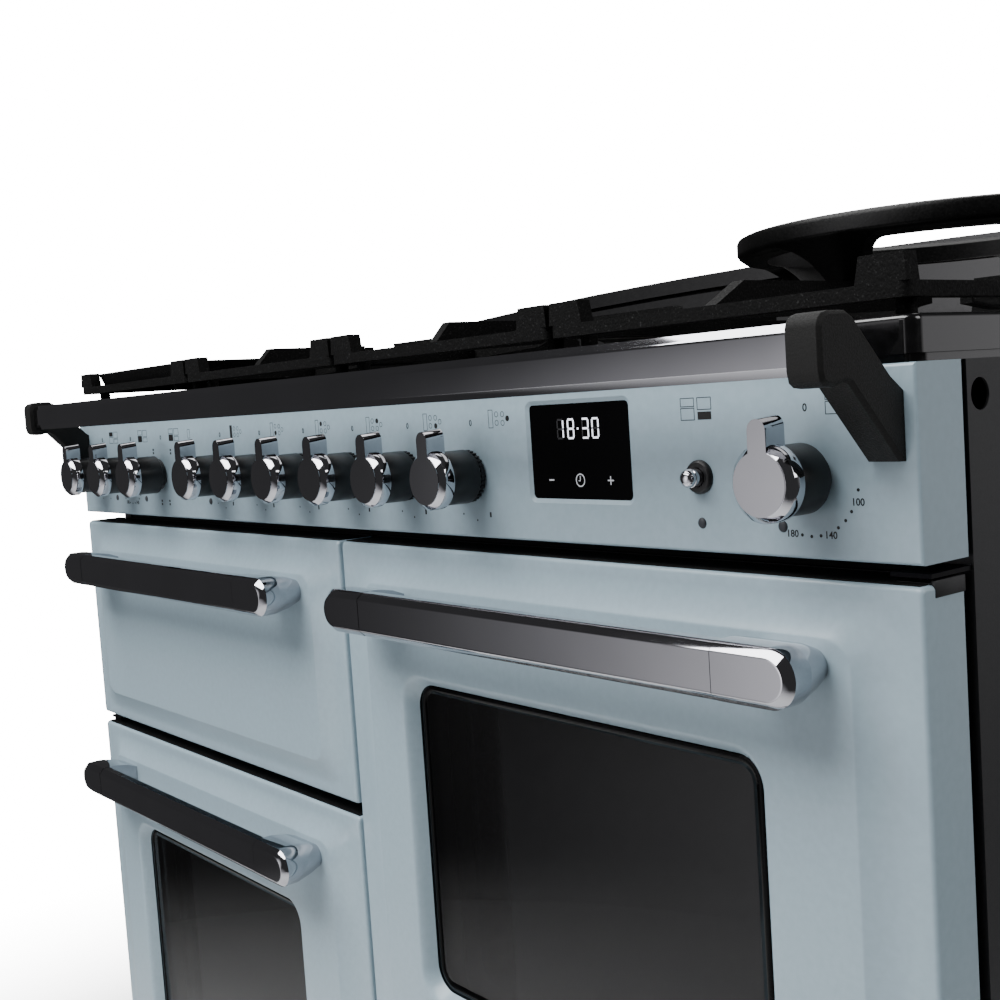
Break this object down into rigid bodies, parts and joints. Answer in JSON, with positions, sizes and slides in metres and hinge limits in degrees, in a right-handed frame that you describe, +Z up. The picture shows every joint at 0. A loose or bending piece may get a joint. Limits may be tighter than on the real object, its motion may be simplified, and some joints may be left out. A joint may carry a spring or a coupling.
{
  "type": "dual fuel range cooker",
  "caption": "Free-standing range cooker with a gas hob, handrail and knobs above side-hung oven doors, a drop-down grill door and a drawer.",
  "frame": {"origin": "middle of the footprint on the floor, at the bottom centre of the whole cooker's box", "axes": "+X to the right along the front, +Y from the front to the back, +Z up"},
  "size_m": [1.092, 0.672, 1.0049],
  "materials": {
    "galvanised_steel": "galvanised sheet",
    "dark_steel": "satin coated sheet steel",
    "black_plastic": "matt moulded",
    "black_enamel": "gloss enamel",
    "blue_enamel": "satin enamel",
    "display_glass": "black glass",
    "bright_chrome": "mirror chrome plate",
    "dark_chrome": "polished dark chrome plate",
    "black_casting": "matt black coated casting",
    "oven_enamel": "gloss vitreous enamel",
    "stainless_wire": "polished wire",
    "zinc_steel": "zinc plated",
    "aluminium": "cast",
    "cast_iron": "rough enamelled cast iron",
    "dark_glass": "tinted toughened glass",
    "seal_rubber": "matt",
    "brass": "turned"
  },
  "bodies": {
    "root": {"base_frame": "galvanised_steel", "side_panels": "dark_steel", "back_panel": "galvanised_steel", "front_frame": "dark_steel", "plinth": "dark_steel", "levelling_feet": "black_plastic", "hob_tray": "black_enamel", "rear_flue_trim": "black_enamel", "fascia": "blue_enamel", "clock_display": "display_glass", "lamps_and_bezel": "black_plastic", "handrail_bar": "dark_chrome", "handrail_brackets": "black_casting", "grill_cavity": "oven_enamel", "left_oven_cavity": "oven_enamel", "right_oven_cavity": "oven_enamel", "grill_element": "stainless_wire", "grill_pan": "oven_enamel", "oven_shelves": "stainless_wire", "fan_covers_and_motors": "oven_enamel", "burner_bodies": "aluminium", "burner_caps": "black_enamel", "drawer_runners": "zinc_steel", "door_seals": "seal_rubber", "hinge_brackets": "zinc_steel", "gas_manifold": "brass", "switches_and_terminal_box": "black_plastic"},
    "grill_door": {"grill_door_panel": "blue_enamel", "grill_door_liner": "dark_steel", "grill_door_handle": "bright_chrome"},
    "left_oven_door": {"left_oven_door_panel": "blue_enamel", "left_oven_door_glass": "dark_glass", "left_oven_door_liner": "dark_steel", "left_oven_door_handle": "bright_chrome"},
    "right_oven_door": {"right_oven_door_panel": "blue_enamel", "right_oven_door_glass": "dark_glass", "right_oven_door_liner": "dark_steel", "right_oven_door_handle": "bright_chrome"},
    "drawer": {"drawer_front": "blue_enamel", "drawer_box": "galvanised_steel", "drawer_handle": "bright_chrome"},
    "button": {"push_button": "bright_chrome"},
    "griddle_stand": {"griddle_support": "cast_iron"},
    "griddle": {"griddle_plate": "cast_iron"},
    "left_support": {"pan_support_left": "cast_iron"},
    "right_support": {"pan_support_right": "cast_iron"},
    "wok_stand": {"wok_support": "cast_iron"},
    "wok_ring": {"wok_cradle": "cast_iron"},
    "left_fan": {"left_oven_fan": "zinc_steel"},
    "right_fan": {"right_oven_fan": "zinc_steel"},
    "knob_grill_body": {"knob_grill": "bright_chrome"},
    "knob_left_oven_function_body": {"knob_left_oven_function": "bright_chrome"},
    "knob_left_oven_heat_body": {"knob_left_oven_heat": "bright_chrome"},
    "knob_griddle_burner_body": {"knob_griddle_burner": "bright_chrome"},
    "knob_front_left_burner_body": {"knob_front_left_burner": "bright_chrome"},
    "knob_rear_left_burner_body": {"knob_rear_left_burner": "bright_chrome"},
    "knob_rear_right_burner_body": {"knob_rear_right_burner": "bright_chrome"},
    "knob_front_right_burner_body": {"knob_front_right_burner": "bright_chrome"},
    "knob_wok_burner_body": {"knob_wok_burner": "bright_chrome"},
    "knob_right_oven_body": {"knob_right_oven": "bright_chrome"}
  },
  "joints": [
    {"name": "grill_door_hinge", "type": "hinge", "parent": "root", "child": "grill_door", "pos_m": [-0.27375, -0.262, 0.5574], "axis": [1, 0, 0], "range_deg": [0, 90]},
    {"name": "left_oven_door_hinge", "type": "hinge", "parent": "root", "child": "left_oven_door", "pos_m": [-0.533, -0.252, 0.3263], "axis": [0, 0, -1], "range_deg": [0, 110]},
    {"name": "right_oven_door_hinge", "type": "hinge", "parent": "root", "child": "right_oven_door", "pos_m": [0.533, -0.252, 0.5591], "axis": [0, 0, 1], "range_deg": [0, 110]},
    {"name": "drawer_slide", "type": "slide", "parent": "root", "child": "drawer", "axis": [0, -1, 0], "range_m": [0, 0.33]},
    {"name": "button_press", "type": "slide", "parent": "root", "child": "button", "axis": [0, 1, 0], "range_m": [0, 0.004], "stiffness_N_per_m": 500, "springref_m": -0.004},
    {"name": "knob_grill_turn", "type": "hinge", "parent": "root", "child": "knob_grill_body", "pos_m": [-0.4895, -0.272, 0.8242], "axis": [0, 1, 0], "range_deg": [0, 290]},
    {"name": "knob_left_oven_function_turn", "type": "hinge", "parent": "root", "child": "knob_left_oven_function_body", "pos_m": [-0.413, -0.272, 0.8242], "axis": [0, 1, 0], "range_deg": [0, 290]},
    {"name": "knob_left_oven_heat_turn", "type": "hinge", "parent": "root", "child": "knob_left_oven_heat_body", "pos_m": [-0.3365, -0.272, 0.8242], "axis": [0, 1, 0], "range_deg": [0, 290]},
    {"name": "knob_griddle_burner_turn", "type": "hinge", "parent": "root", "child": "knob_griddle_burner_body", "pos_m": [-0.204, -0.272, 0.8242], "axis": [0, -1, 0], "range_deg": [0, 225]},
    {"name": "knob_front_left_burner_turn", "type": "hinge", "parent": "root", "child": "knob_front_left_burner_body", "pos_m": [-0.1264, -0.272, 0.8242], "axis": [0, -1, 0], "range_deg": [0, 225]},
    {"name": "knob_rear_left_burner_turn", "type": "hinge", "parent": "root", "child": "knob_rear_left_burner_body", "pos_m": [-0.0488, -0.272, 0.8242], "axis": [0, -1, 0], "range_deg": [0, 225]},
    {"name": "knob_rear_right_burner_turn", "type": "hinge", "parent": "root", "child": "knob_rear_right_burner_body", "pos_m": [0.0288, -0.272, 0.8242], "axis": [0, -1, 0], "range_deg": [0, 225]},
    {"name": "knob_front_right_burner_turn", "type": "hinge", "parent": "root", "child": "knob_front_right_burner_body", "pos_m": [0.1064, -0.272, 0.8242], "axis": [0, -1, 0], "range_deg": [0, 225]},
    {"name": "knob_wok_burner_turn", "type": "hinge", "parent": "root", "child": "knob_wok_burner_body", "pos_m": [0.184, -0.272, 0.8242], "axis": [0, -1, 0], "range_deg": [0, 225]},
    {"name": "knob_right_oven_turn", "type": "hinge", "parent": "root", "child": "knob_right_oven_body", "pos_m": [0.479, -0.272, 0.8242], "axis": [0, 1, 0], "range_deg": [0, 290]},
    {"name": "griddle_support_lift", "type": "slide", "parent": "root", "child": "griddle_stand", "axis": [0, 0, 1], "range_m": [0, 0.12]},
    {"name": "griddle_plate_lift", "type": "slide", "parent": "griddle_stand", "child": "griddle", "axis": [0, 0, 1], "range_m": [0, 0.06]},
    {"name": "pan_support_left_lift", "type": "slide", "parent": "root", "child": "left_support", "axis": [0, 0, 1], "range_m": [0, 0.12]},
    {"name": "pan_support_right_lift", "type": "slide", "parent": "root", "child": "right_support", "axis": [0, 0, 1], "range_m": [0, 0.12]},
    {"name": "wok_support_lift", "type": "slide", "parent": "root", "child": "wok_stand", "axis": [0, 0, 1], "range_m": [0, 0.12]},
    {"name": "wok_cradle_lift", "type": "slide", "parent": "wok_stand", "child": "wok_ring", "axis": [0, 0, 1], "range_m": [0, 0.06]},
    {"name": "left_fan_spin", "type": "hinge", "parent": "root", "child": "left_fan", "pos_m": [-0.27375, 0.19, 0.3263], "axis": [0, 1, 0], "continuous": true},
    {"name": "right_fan_spin", "type": "hinge", "parent": "root", "child": "right_fan", "pos_m": [0.27375, 0.19, 0.5591], "axis": [0, 1, 0], "continuous": true}
  ]
}
